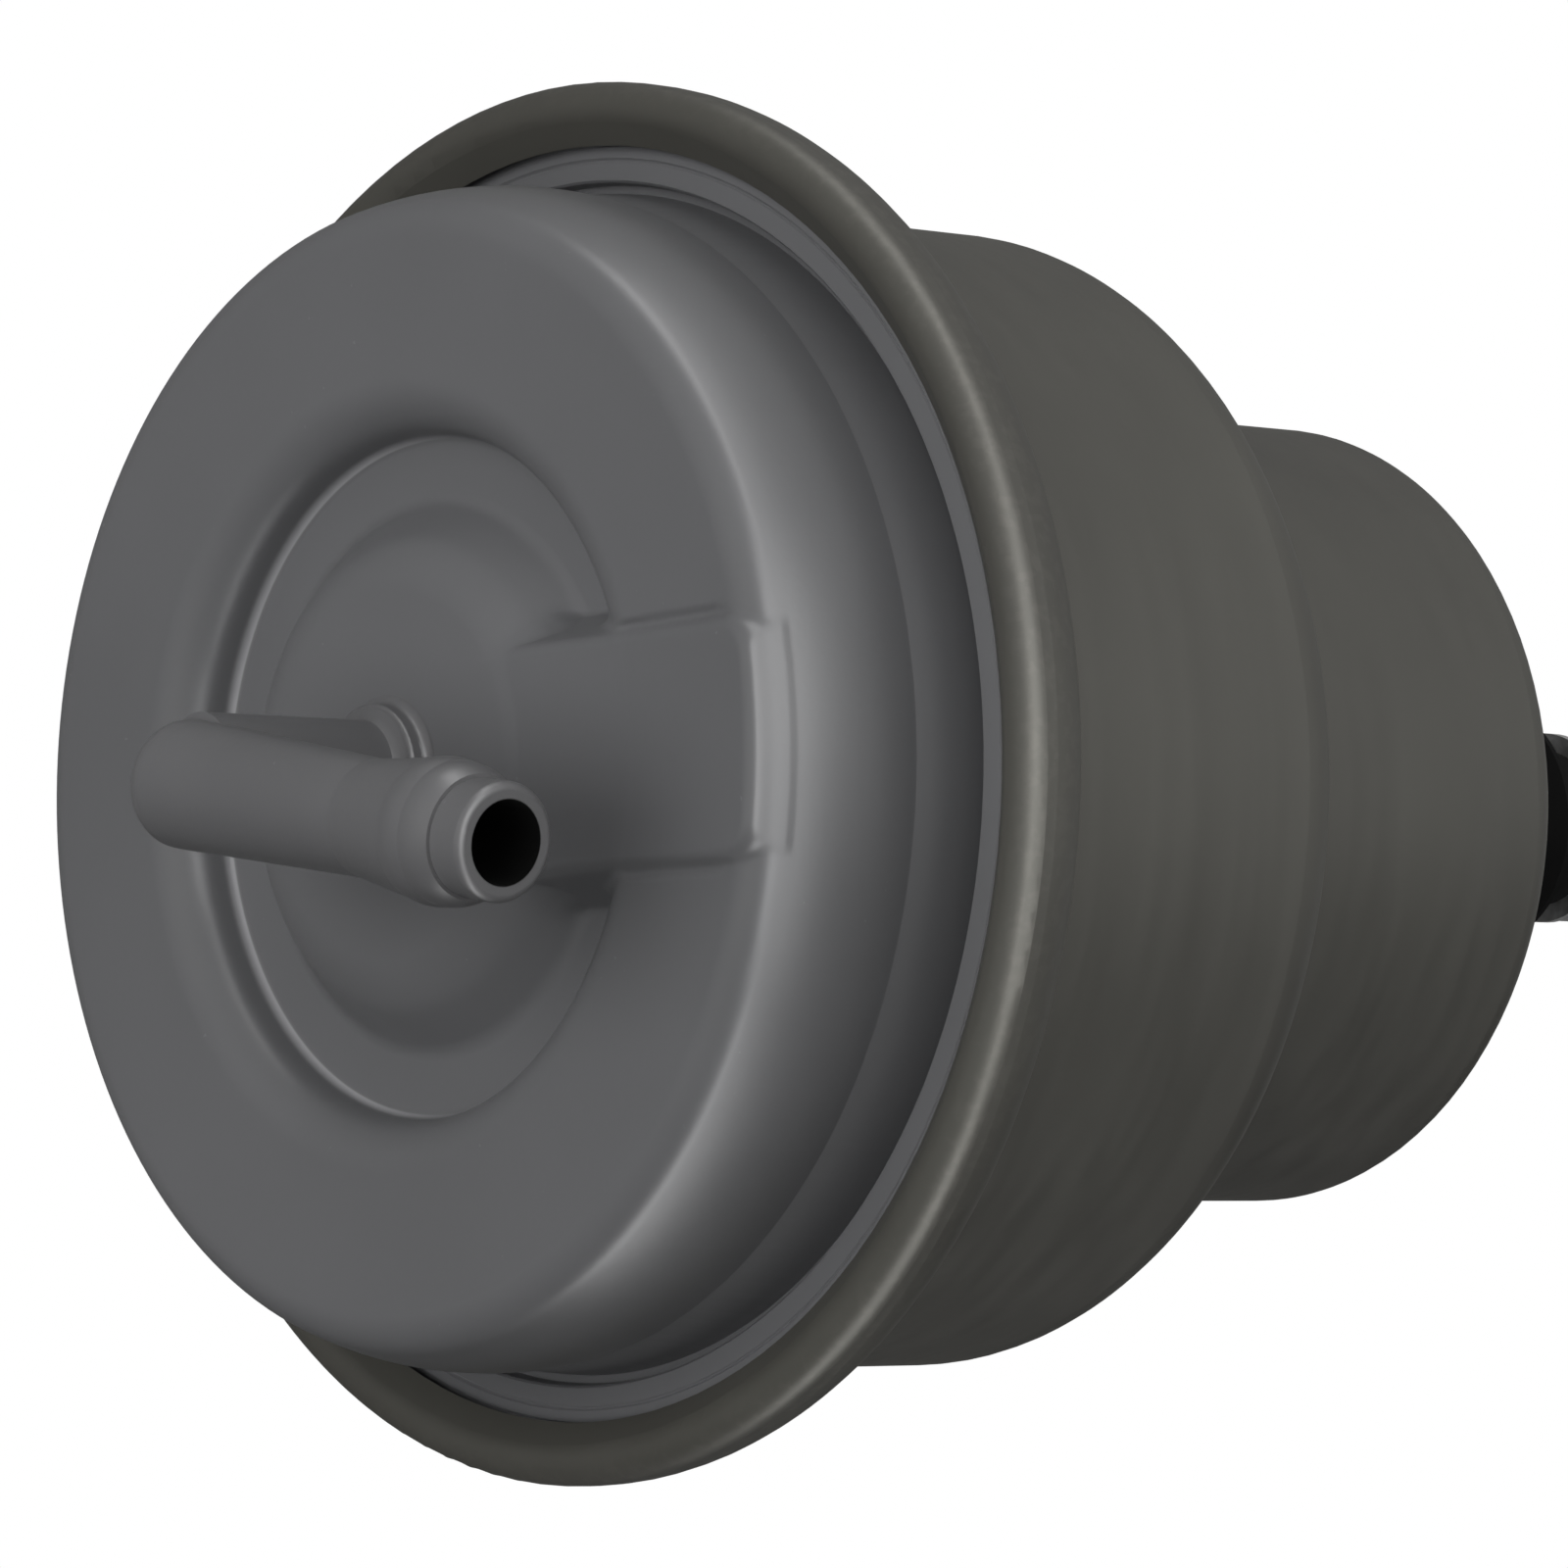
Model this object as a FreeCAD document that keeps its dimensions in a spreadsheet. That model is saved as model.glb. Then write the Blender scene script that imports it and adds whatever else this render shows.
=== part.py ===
import FreeCAD, Part
import math
import os
import Sketcher

# Vacuum and pressure actuator capsule of a turbo wastegate.
# Millimetres. The rod runs along +X, the origin lies in the mounting face, +Z is up.

os.makedirs("parts", exist_ok=True)
doc = FreeCAD.newDocument("capsule")
sheet = doc.addObject("Spreadsheet::Sheet", "Sizes")
nodes = {}


class Size:
    # a number together with the sheet formula that gives it
    def __init__(self, number, text):
        self.number = number
        self.text = text

    def __add__(self, other):
        other = asSize(other)
        return Size(self.number + other.number, "(%s + %s)" % (self.text, other.text))

    def __sub__(self, other):
        other = asSize(other)
        return Size(self.number - other.number, "(%s - %s)" % (self.text, other.text))

    def __mul__(self, other):
        other = asSize(other)
        return Size(self.number * other.number, "(%s * %s)" % (self.text, other.text))

    def __truediv__(self, other):
        other = asSize(other)
        return Size(self.number / other.number, "(%s / %s)" % (self.text, other.text))

    def __neg__(self):
        return Size(-self.number, "(0 - %s)" % self.text)

    def __radd__(self, other):
        return asSize(other) + self

    def __rsub__(self, other):
        return asSize(other) - self

    def __rmul__(self, other):
        return asSize(other) * self


def asSize(value):
    if isinstance(value, Size):
        return value
    return Size(float(value), repr(float(value)))


def cosOf(angle):
    return Size(math.cos(math.radians(angle.number)), "cos(%s * 1 deg)" % angle.text)


def sinOf(angle):
    return Size(math.sin(math.radians(angle.number)), "sin(%s * 1 deg)" % angle.text)


sheetRow = [0]


def size(alias, number):
    sheetRow[0] += 1
    sheet.set("A%d" % sheetRow[0], alias)
    sheet.set("B%d" % sheetRow[0], repr(float(number)))
    sheet.setAlias("B%d" % sheetRow[0], alias)
    return Size(float(number), "Sizes." + alias)


# Sizes seen in the photograph

sheetWall = size("sheetWall", 1.0)
smallRadius = size("smallRadius", 18.5)
smallLength = size("smallLength", 21.2)
smallCorner = size("smallCorner", 1.6)
stepBend = size("stepBend", 0.8)
rimRadius = size("rimRadius", 31.0)
rimStep = size("rimStep", 5.0)
bigRadius = rimRadius - rimStep
bigLength = size("bigLength", 19.7)
bigCorner = size("bigCorner", 3.0)
rimBend = size("rimBend", 1.0)
rimCorner = size("rimCorner", 3.1)
rollRadius = size("rollRadius", 1.1)
rollAngle = size("rollAngle", 131.0)
rollDepth = size("rollDepth", 3.67)
lipLength = size("lipLength", 1.3)

beadHeight = size("beadHeight", 1.0)
flangeInset = size("flangeInset", 1.4)
flangeRadius = rimRadius - flangeInset
flangeGap = size("flangeGap", 0.02)
landHeight = size("landHeight", 1.3)
landInset = size("landInset", 3.35)
landOuter = rimRadius - landInset
landWidth = size("landWidth", 1.23)
landInner = landOuter - landWidth
gapWidth = size("gapWidth", 0.8)
gapOuter = landOuter + gapWidth
gapHeight = size("gapHeight", 0.7)
creaseDepth = size("creaseDepth", 0.16)
creaseWidth = size("creaseWidth", 0.14)
coverWall = size("coverWall", 1.6)
domeGap = size("domeGap", 0.32)
domeFoot = landInner - domeGap
bandDraft = size("bandDraft", 0.3)
bandTop = domeFoot - bandDraft
bandHeight = size("bandHeight", 2.94)
domeHeight = size("domeHeight", 10.64)
domeBulge = size("domeBulge", 12.9)
domeDraft = size("domeDraft", 0.95)
domeEnd = bandTop - domeDraft
domeRound = size("domeRound", 1.2)
domeRoundAngle = size("domeRoundAngle", 66.0)
faceInset = size("faceInset", 1.1)
faceRadius = domeEnd - faceInset
ribRise = size("ribRise", 0.45)
islandDrop = size("islandDrop", 0.55)
moatDepth = size("moatDepth", 2.9)
moatInner = size("moatInner", 12.0)
islandTop = size("islandTop", 9.5)
islandRound = size("islandRound", 1.1)
moatOuter = size("moatOuter", 14.85)
moatOuterTop = size("moatOuterTop", 15.3)
moatRound = size("moatRound", 1.9)
ribTopHalf = size("ribTopHalf", 4.7)
ribFootHalf = size("ribFootHalf", 6.4)
ribEdge = size("ribEdge", 0.5)
ribPast = size("ribPast", 0.2)
ribReach = domeEnd + ribPast
ribFoot = size("ribFoot", 1.3)
ribCorner = size("ribCorner", 1.1)

stemRadius = size("stemRadius", 2.3)
stemFoot = size("stemFoot", 3.05)
tubeReach = size("tubeReach", 64.85)
tubeHeel = size("tubeHeel", 1.9)
heelRound = size("heelRound", 1.2)
tubeDrop = size("tubeDrop", 0.86)
tubeTilt = size("tubeTilt", 10.4)
tubeRoot = size("tubeRoot", 2.78)
tubeNeck = size("tubeNeck", 2.5)
tubeLength = size("tubeLength", 20.8)
barbRadius = size("barbRadius", 3.05)
barbStart = size("barbStart", 8.6)
barbPeak = size("barbPeak", 3.8)
barbStep = size("barbStep", 1.9)
tipRadius = size("tipRadius", 2.5)
tipRound = size("tipRound", 0.35)
boreRadius = size("boreRadius", 1.78)

# Sizes of the working parts inside and behind

runGap = size("runGap", 0.03)
fitGap = size("fitGap", 0.02)
softGap = size("softGap", 0.3)
rodRadius = size("rodRadius", 2.5)
neckRadius = size("neckRadius", 2.0)
collarRadius = size("collarRadius", 4.0)
collarLength = size("collarLength", 2.0)
headRadius = size("headRadius", 3.4)
headHeight = size("headHeight", 1.3)
washerHeight = size("washerHeight", 0.8)
washerRadius = size("washerRadius", 4.6)
plateHeight = size("plateHeight", 0.8)
rubberWall = size("rubberWall", 0.7)
crownDepth = size("crownDepth", 48.0)
crownHeight = size("crownHeight", 1.2)
skirtInset = size("skirtInset", 4.5)
skirtRadius = bigRadius - skirtInset
plateInset = size("plateInset", 3.1)
plateRadius = skirtRadius - plateInset
skirtWall = size("skirtWall", 1.0)
skirtDepth = size("skirtDepth", 34.0)
pistonCorner = size("pistonCorner", 1.5)
rollBack = size("rollBack", 36.0)
springRadius = size("springRadius", 14.0)
springWire = size("springWire", 2.2)
springTurns = size("springTurns", 6.5)
studPlateHeight = size("studPlateHeight", 2.0)
studPlateRadius = size("studPlateRadius", 17.1)
seatHeight = size("seatHeight", 2.0)
seatInner = size("seatInner", 11.2)
seatLip = size("seatLip", 12.5)
seatOuter = size("seatOuter", 16.6)
seatLipHeight = size("seatLipHeight", 3.0)
studRadius = size("studRadius", 2.5)
studSpacing = size("studSpacing", 24.0)
studLength = size("studLength", 8.5)
studHead = size("studHead", 3.7)
studHeadHeight = size("studHeadHeight", 1.0)
studChamfer = size("studChamfer", 0.5)
studShank = size("studShank", 2.8)
floorOpening = size("floorOpening", 7.6)
bushOuter = size("bushOuter", 4.0)
bushFront = size("bushFront", 10.0)
bushRear = size("bushRear", 1.6)
cupWall = size("cupWall", 0.6)
cupFlange = size("cupFlange", 8.0)
cupReach = size("cupReach", 2.6)
wiperRear = size("wiperRear", 2.3)
capWall = size("capWall", 0.5)
bumpInset = size("bumpInset", 3.6)
bumpWidth = size("bumpWidth", 2.8)
bumpOuter = bigRadius - bumpInset
bumpInner = bumpOuter - bumpWidth
bumpHeight = size("bumpHeight", 1.5)
bootWall = size("bootWall", 0.7)
bootReach = size("bootReach", 18.4)
bootCollar = size("bootCollar", 4.2)
bootWide = size("bootWide", 6.6)
bootNarrow = size("bootNarrow", 3.86)
bootNeck = size("bootNeck", 3.5)
bootFold = size("bootFold", 1.0)
clipWire = size("clipWire", 0.35)
stopHeight = size("stopHeight", 0.8)
stopRadius = size("stopRadius", 4.7)
nutHeight = size("nutHeight", 3.2)
nutFlats = size("nutFlats", 8.0)
endShank = size("endShank", 4.5)

endLength = size("endLength", 24.0)
eyeRadius = size("eyeRadius", 7.2)
eyeWidth = size("eyeWidth", 6.0)
eyeBush = size("eyeBush", 4.1)
eyeBore = size("eyeBore", 3.0)
rodTail = size("rodTail", 12.0)
ventRadius = size("ventRadius", 0.6)
ventCircle = size("ventCircle", 9.85)


# Helpers

def originPlane(body, role):
    for feature in body.Origin.OriginFeatures:
        if feature.Role == role:
            return feature
    raise RuntimeError("no plane " + role)


def newSketch(body, name, role):
    sketch = body.newObject("Sketcher::SketchObject", name)
    sketch.AttachmentSupport = [(originPlane(body, role), "")]
    sketch.MapMode = "FlatFace"
    return sketch


def pin(sketch, geometry, point, axis, value):
    # ties one end of a line or arc to the origin along one sketch axis
    value = asSize(value)
    kind = "DistanceX" if axis == 0 else "DistanceY"
    if abs(value.number) < 1e-9:
        other = -2 if axis == 0 else -1
        sketch.addConstraint(Sketcher.Constraint("PointOnObject", geometry, point, other))
        return
    if value.number > 0:
        index = sketch.addConstraint(Sketcher.Constraint(kind, -1, 1, geometry, point, value.number))
        sketch.setExpression("Constraints[%d]" % index, value.text)
        return
    index = sketch.addConstraint(Sketcher.Constraint(kind, geometry, point, -1, 1, -value.number))
    sketch.setExpression("Constraints[%d]" % index, (-value).text)


def arcThrough(start, end, radius, turn):
    # centre of the smaller arc from start to end, turn 1 is anticlockwise
    chord = end - start
    half = chord.Length / 2
    rise = math.sqrt(max(radius * radius - half * half, 0.0))
    side = FreeCAD.Vector(-chord.y, chord.x, 0)
    side.normalize()
    return (start + end) * 0.5 + side * rise * turn


def outline(sketch, corners, arcs=None):
    # closed outline through the corners, arcs gives (radius, turn) for the edge after a corner
    arcs = arcs or {}
    points = []
    for corner in corners:
        points.append(FreeCAD.Vector(asSize(corner[0]).number, asSize(corner[1]).number, 0))
    first = []
    last = []
    base = sketch.GeometryCount
    for index in range(len(corners)):
        start = points[index]
        end = points[(index + 1) % len(corners)]
        if index in arcs:
            radius = asSize(arcs[index][0])
            turn = arcs[index][1]
            centre = arcThrough(start, end, radius.number, turn)
            fromPoint = start if turn > 0 else end
            toPoint = end if turn > 0 else start
            fromAngle = math.atan2(fromPoint.y - centre.y, fromPoint.x - centre.x)
            toAngle = math.atan2(toPoint.y - centre.y, toPoint.x - centre.x)
            if toAngle < fromAngle:
                toAngle += 2 * math.pi
            circle = Part.Circle(centre, FreeCAD.Vector(0, 0, 1), radius.number)
            sketch.addGeometry(Part.ArcOfCircle(circle, fromAngle, toAngle), False)
            first.append(1 if turn > 0 else 2)
            last.append(2 if turn > 0 else 1)
        else:
            sketch.addGeometry(Part.LineSegment(start, end), False)
            first.append(1)
            last.append(2)
    for index in range(len(corners)):
        after = (index + 1) % len(corners)
        joint = Sketcher.Constraint("Coincident", base + index, last[index], base + after, first[after])
        sketch.addConstraint(joint)
    for index in range(len(corners)):
        pin(sketch, base + index, first[index], 0, corners[index][0])
        pin(sketch, base + index, first[index], 1, corners[index][1])
    for index in arcs:
        radius = asSize(arcs[index][0])
        mark = sketch.addConstraint(Sketcher.Constraint("Radius", base + index, radius.number))
        sketch.setExpression("Constraints[%d]" % mark, radius.text)


def revolve(body, name, corners, arcs=None, kind="PartDesign::Revolution"):
    sketch = newSketch(body, name + "_outline", "XZ_Plane")
    outline(sketch, corners, arcs)
    feature = body.newObject(kind, name)
    feature.Profile = sketch
    feature.ReferenceAxis = (sketch, ["H_Axis"])
    feature.Angle = 360.0
    doc.recompute()
    return feature


def lathe(name, corners, arcs=None):
    body = doc.addObject("PartDesign::Body", name)
    revolve(body, name + "_turned", corners, arcs)
    return body


def circleAt(shape, depth, radius):
    # names the round edges that lie at this depth with this radius
    found = []
    for number, edge in enumerate(shape.Edges, 1):
        curve = edge.Curve
        if not isinstance(curve, Part.Circle):
            continue
        if abs(curve.Center.x - depth.number) > 0.002 or abs(curve.Radius - radius.number) > 0.002:
            continue
        found.append("Edge%d" % number)
    if not found:
        raise RuntimeError("no round edge at %.3f radius %.3f" % (depth.number, radius.number))
    return found


def roundOff(body, label, depth, radius, amount):
    amount = asSize(amount)
    tip = body.Tip
    feature = body.newObject("PartDesign::Fillet", label)
    feature.Base = (tip, circleAt(tip.Shape, asSize(depth), asSize(radius)))
    feature.Radius = amount.number
    feature.setExpression("Radius", amount.text)
    body.Tip = feature
    doc.recompute()
    return feature


def roundEdges(body, label, amount, wanted):
    # rounds the edges whose two ends, the one nearer the cover's top first, are the wanted ones
    names = []
    tip = body.Tip
    for number, edge in enumerate(tip.Shape.Edges, 1):
        ends = sorted((edge.Vertexes[0].Point, edge.Vertexes[-1].Point), key=lambda point: point.x)
        if wanted(ends[0], ends[1]):
            names.append("Edge%d" % number)
    if not names:
        raise RuntimeError("no edge for " + label)
    feature = body.newObject("PartDesign::Fillet", label)
    feature.Base = (tip, names)
    feature.Radius = amount.number
    feature.setExpression("Radius", amount.text)
    body.Tip = feature
    doc.recompute()


def finish(name, item):
    item.Label = name
    nodes[name] = item


def cylinder(name, radius, height, place, axis):
    item = doc.addObject("Part::Cylinder", name)
    item.Radius = asSize(radius).number
    item.setExpression("Radius", asSize(radius).text)
    item.Height = asSize(height).number
    item.setExpression("Height", asSize(height).text)
    turn = FreeCAD.Rotation(FreeCAD.Vector(0, 0, 1), axis)
    item.Placement = FreeCAD.Placement(FreeCAD.Vector(0, 0, 0), turn)
    for letter, value in zip("xyz", place):
        item.setExpression("Placement.Base." + letter, asSize(value).text)
    return item


def fuse(name, items):
    item = doc.addObject("Part::MultiFuse", name)
    item.Shapes = items
    doc.recompute()
    return item


def cut(name, base, tool):
    item = doc.addObject("Part::Cut", name)
    item.Base = base
    item.Tool = tool
    doc.recompute()
    return item


alongX = FreeCAD.Vector(1, 0, 0)
alongY = FreeCAD.Vector(0, 1, 0)

# Depths along the rod, all measured from the mounting face

bigFace = -smallLength
seatBack = -(smallLength + bigLength)
seatFront = seatBack - sheetWall
flangeBack = seatFront - beadHeight
rollCentre = seatBack - rollDepth
rollMiddle = rimRadius - rollRadius
lipTurn = rollAngle + 90.0
lipX = rollCentre + rollRadius * cosOf(lipTurn)
lipR = rollMiddle + rollRadius * sinOf(lipTurn)
lipEndX = lipX - lipLength * sinOf(lipTurn)
lipEndR = lipR + lipLength * cosOf(lipTurn)
lipInX = lipEndX - sheetWall * cosOf(lipTurn)
lipInR = lipEndR - sheetWall * sinOf(lipTurn)
rollInner = rollRadius - sheetWall
rollInX = rollCentre + rollInner * cosOf(lipTurn)
rollInR = rollMiddle + rollInner * sinOf(lipTurn)
cupOuter = bushOuter + fitGap + cupWall
floorHole = cupOuter + 0.05

# Stepped can with its rim rolled over the cover

canCorners = [
    (0, floorOpening),
    (0, smallRadius),
    (bigFace, smallRadius),
    (bigFace, bigRadius),
    (seatBack, bigRadius),
    (seatBack, rimRadius),
    (rollCentre, rimRadius),
    (lipX, lipR),
    (lipEndX, lipEndR),
    (lipInX, lipInR),
    (rollInX, rollInR),
    (rollCentre, rollMiddle + rollInner),
    (seatFront, rimRadius - sheetWall),
    (seatFront, bigRadius - sheetWall),
    (bigFace - sheetWall, bigRadius - sheetWall),
    (bigFace - sheetWall, smallRadius - sheetWall),
    (-sheetWall, smallRadius - sheetWall),
    (-sheetWall, floorOpening),
]
can = lathe("can", canCorners, {6: (rollRadius, 1), 10: (rollInner, -1)})
roundOff(can, "can_end", 0, smallRadius, smallCorner)
roundOff(can, "can_step", bigFace, smallRadius, stepBend)
roundOff(can, "can_shoulder", bigFace, bigRadius, bigCorner)
roundOff(can, "can_bend", seatBack, bigRadius, rimBend)
roundOff(can, "can_rim", seatBack, rimRadius, rimCorner)
roundOff(can, "can_rim_in", seatFront, rimRadius - sheetWall, rimCorner - sheetWall)
roundOff(can, "can_bend_in", seatFront, bigRadius - sheetWall, rimBend + sheetWall)
roundOff(can, "can_shoulder_in", bigFace - sheetWall, bigRadius - sheetWall, bigCorner - sheetWall)
roundOff(can, "can_step_in", bigFace - sheetWall, smallRadius - sheetWall, stepBend + sheetWall)
roundOff(can, "can_end_in", -sheetWall, smallRadius - sheetWall, smallCorner - sheetWall)


def holesOnCircle(body, name, radius, places, depth):
    # round holes through the floor, one circle for each place
    sketch = newSketch(body, name + "_outline", "YZ_Plane")
    for place in places:
        mark = sketch.addGeometry(Part.Circle(
            FreeCAD.Vector(asSize(place[0]).number, asSize(place[1]).number, 0),
            FreeCAD.Vector(0, 0, 1), asSize(radius).number), False)
        pin(sketch, mark, 3, 0, place[0])
        pin(sketch, mark, 3, 1, place[1])
        index = sketch.addConstraint(Sketcher.Constraint("Radius", mark, asSize(radius).number))
        sketch.setExpression("Constraints[%d]" % index, asSize(radius).text)
    before = body.Tip.Shape.Volume
    pocket = body.newObject("PartDesign::Pocket", name)
    pocket.Profile = sketch
    pocket.Length = asSize(depth).number
    pocket.setExpression("Length", asSize(depth).text)
    doc.recompute()
    if not pocket.Shape.isValid() or pocket.Shape.Volume > before - 0.1:
        pocket.Reversed = True
        doc.recompute()
    if pocket.Shape.Volume > before - 0.1:
        raise RuntimeError(name + " removes nothing")
    body.Tip = pocket
    return pocket


studHalf = studSpacing / 2
studPlaces = [(0, studHalf), (0, -studHalf)]
holesOnCircle(can, "can_stud_holes", studShank + fitGap, studPlaces, sheetWall + 0.5)
holesOnCircle(can, "can_vent", ventRadius, [(ventCircle, 0)], sheetWall + 0.5)
finish("can", can)

# Moulded cover: flange, dome with island and moat, and the raised rib

flangeFront = lipInX + flangeGap
landFront = flangeBack - landHeight
crease = landFront + creaseDepth
bandX = landFront - bandHeight
faceX = landFront - domeHeight
topX = faceX - ribRise
roundX = faceX + domeRound * (1.0 - cosOf(domeRoundAngle))
roundR = faceRadius + domeRound * sinOf(domeRoundAngle)
moatFloor = faceX + moatDepth
islandX = topX + islandDrop

coverCorners = [
    (flangeBack, 0),
    (flangeBack, flangeRadius),
    (flangeFront, flangeRadius),
    (flangeFront, gapOuter),
    (flangeBack - gapHeight, gapOuter),
    (flangeBack - gapHeight, landOuter),
    (landFront, landOuter),
    (landFront, landInner),
    (crease, landInner - creaseWidth),
    (crease, domeFoot),
    (bandX, bandTop),
    (roundX, roundR),
    (faceX, faceRadius),
    (faceX, moatOuterTop + moatRound),
    (faceX + moatRound, moatOuterTop),
    (moatFloor, moatOuter),
    (moatFloor, moatInner),
    (islandX + islandRound * 0.45, islandTop + islandRound * 0.55),
    (islandX, islandTop - islandRound * 0.5),
    (islandX, 0),
]
coverArcs = {10: (domeBulge, 1), 11: (domeRound, 1), 13: (moatRound, 1), 17: (islandRound * 1.3, 1)}
cover = lathe("cover", coverCorners, coverArcs)
roundOff(cover, "cover_moat_foot", moatFloor, moatOuter, 0.35)
roundOff(cover, "cover_island_foot", moatFloor, moatInner, 0.5)

ribBody = doc.addObject("PartDesign::Body", "rib")
ribSketch = newSketch(ribBody, "rib_outline", "XZ_Plane")
# its top climbs from the island's height at the island's edge to its full rise at the outer end
ribSlant = islandDrop / (ribReach - islandTop)
ribStart = topX + ribSlant * ribReach
ribLow = moatFloor + 0.5
ribSpread = (ribFootHalf - ribTopHalf) / (moatDepth + ribRise)
ribDepth = moatDepth + ribRise + 0.5
ribLowHalf = ribTopHalf + ribSpread * ribDepth
outline(ribSketch, [
    (ribStart + ribDepth, ribLowHalf),
    (ribStart, ribTopHalf),
    (ribStart, -ribTopHalf),
    (ribStart + ribDepth, -ribLowHalf),
])
ribPad = ribBody.newObject("PartDesign::Pad", "rib_pad")
ribPad.Profile = ribSketch
ribLength = ribReach + 2.0
ribPad.Length = ribLength.number
ribPad.setExpression("Length", ribLength.text)
ribPad.UseCustomVector = True
ribPad.AlongSketchNormal = True
ribPad.Direction = FreeCAD.Vector(-ribSlant.number, -1.0, 0)
doc.recompute()
if ribPad.Shape.BoundBox.YMax > 0.1 or ribPad.Shape.BoundBox.XMin > topX.number + 0.1:
    raise RuntimeError("rib lies on the wrong side")
ribOutside = moatOuterTop + moatRound
revolve(ribBody, "rib_end", [
    (topX - 1.0, ribReach),
    (faceX + ribFoot, ribReach),
    (faceX + ribFoot, ribOutside),
    (ribLow + 1.0, ribOutside - 1.0),
    (ribLow + 1.0, ribReach + 6.0),
    (topX - 1.0, ribReach + 6.0),
], None, "PartDesign::Groove")
roundEdges(ribBody, "rib_corners", ribCorner, lambda first, last: first.x < topX.number + 0.1
           and last.x > topX.number + 1.0 and first.y < 1.0 - faceRadius.number)
roundEdges(ribBody, "rib_top", ribEdge, lambda first, last: first.x < topX.number + 0.1
           and last.x < ribStart.number + 0.01 and first.y + last.y < -1.0)

coverJoin = cover.newObject("PartDesign::Boolean", "cover_rib")
coverJoin.setObjects([ribBody])
coverJoin.Type = "Fuse"
cover.Tip = coverJoin
doc.recompute()

cavityTop = topX + coverWall
cavityFace = faceX + coverWall
cavityMoat = moatFloor + coverWall
stemHole = stemRadius + fitGap
cavityCorners = [
    (flangeBack + 0.5, 0),
    (flangeBack + 0.5, domeFoot - coverWall),
    (crease, domeFoot - coverWall),
    (bandX, bandTop - coverWall),
    (cavityFace + 1.4, domeEnd - coverWall - 0.4),
    (cavityFace, faceRadius - coverWall - 0.6),
    (cavityFace, moatOuterTop + moatRound + 0.4),
    (cavityMoat - 0.5, moatOuter + coverWall),
    (cavityMoat, moatOuter + coverWall - 0.5),
    (cavityMoat, moatInner - coverWall - 0.4),
    (cavityTop, islandTop - coverWall - 0.3),
    (cavityTop, stemHole),
    (topX - 1.0, stemHole),
    (topX - 1.0, 0),
]
revolve(cover, "cover_cavity", cavityCorners, None, "PartDesign::Groove")
finish("cover", cover)

# Hose nozzle pressed into the island and bent towards -Y

stemIn = cavityTop + 1.0
stemBody = lathe("stem", [
    (stemIn, 0),
    (stemIn, stemRadius - 0.3),
    (stemIn - 0.3, stemRadius),
    (islandX - fitGap, stemRadius),
    (islandX - fitGap, stemFoot + 0.4),
    (islandX - 0.4, stemFoot),
    (islandX - 0.8, stemFoot),
    (islandX - 1.0, stemFoot - 0.2),
    (islandX - 1.4, stemRadius),
    (-tubeReach, stemRadius),
    (-tubeReach, 0),
], {4: (0.4, -1), 6: (0.2, 1), 7: (0.8, -1)})
tubeBody = lathe("tube", [
    (-tubeHeel, 0),
    (-tubeHeel, tubeRoot - heelRound),
    (heelRound - tubeHeel, tubeRoot),
    (0, tubeRoot),
    (tubeLength - barbStart, tubeNeck),
    (tubeLength - barbPeak - 0.9, barbRadius - 0.06),
    (tubeLength - barbPeak + 0.5, barbRadius - 0.03),
    (tubeLength - barbStep, tipRadius + 0.12),
    (tubeLength - barbStep, tipRadius - 0.05),
    (tubeLength - tipRound, tipRadius),
    (tubeLength, tipRadius - tipRound),
    (tubeLength, 0),
], {1: (heelRound, -1), 5: (2.4, -1), 6: (2.2, -1), 9: (tipRound, -1)})
tiltTurn = math.radians(tubeTilt.number)
tubeWay = FreeCAD.Vector(0, -math.cos(tiltTurn), -math.sin(tiltTurn))
tubeTurn = FreeCAD.Rotation(alongX, tubeWay)
tubePlace = FreeCAD.Placement(FreeCAD.Vector(-tubeReach.number, 0, -tubeDrop.number), tubeTurn)
tubeBody.Placement = tubePlace
tubeBody.setExpression("Placement.Base.x", (-tubeReach).text)
tubeBody.setExpression("Placement.Base.z", (-tubeDrop).text)
elbowSolid = fuse("elbow_solid", [stemBody, tubeBody])
stemBore = cylinder("stem_bore", boreRadius - 0.4, tubeReach + stemIn + 1.0, (stemIn + 0.2, 0, 0), -alongX)
tubeBore = cylinder("tube_bore", boreRadius, tubeLength + 1.0, (-tubeReach, 0, -tubeDrop), tubeWay)
elbowBore = fuse("elbow_bore", [stemBore, tubeBore])
hoseElbow = cut("hose_elbow", elbowSolid, elbowBore)
finish("hose_elbow", hoseElbow)

# Rolling diaphragm between can wall and piston skirt

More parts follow.
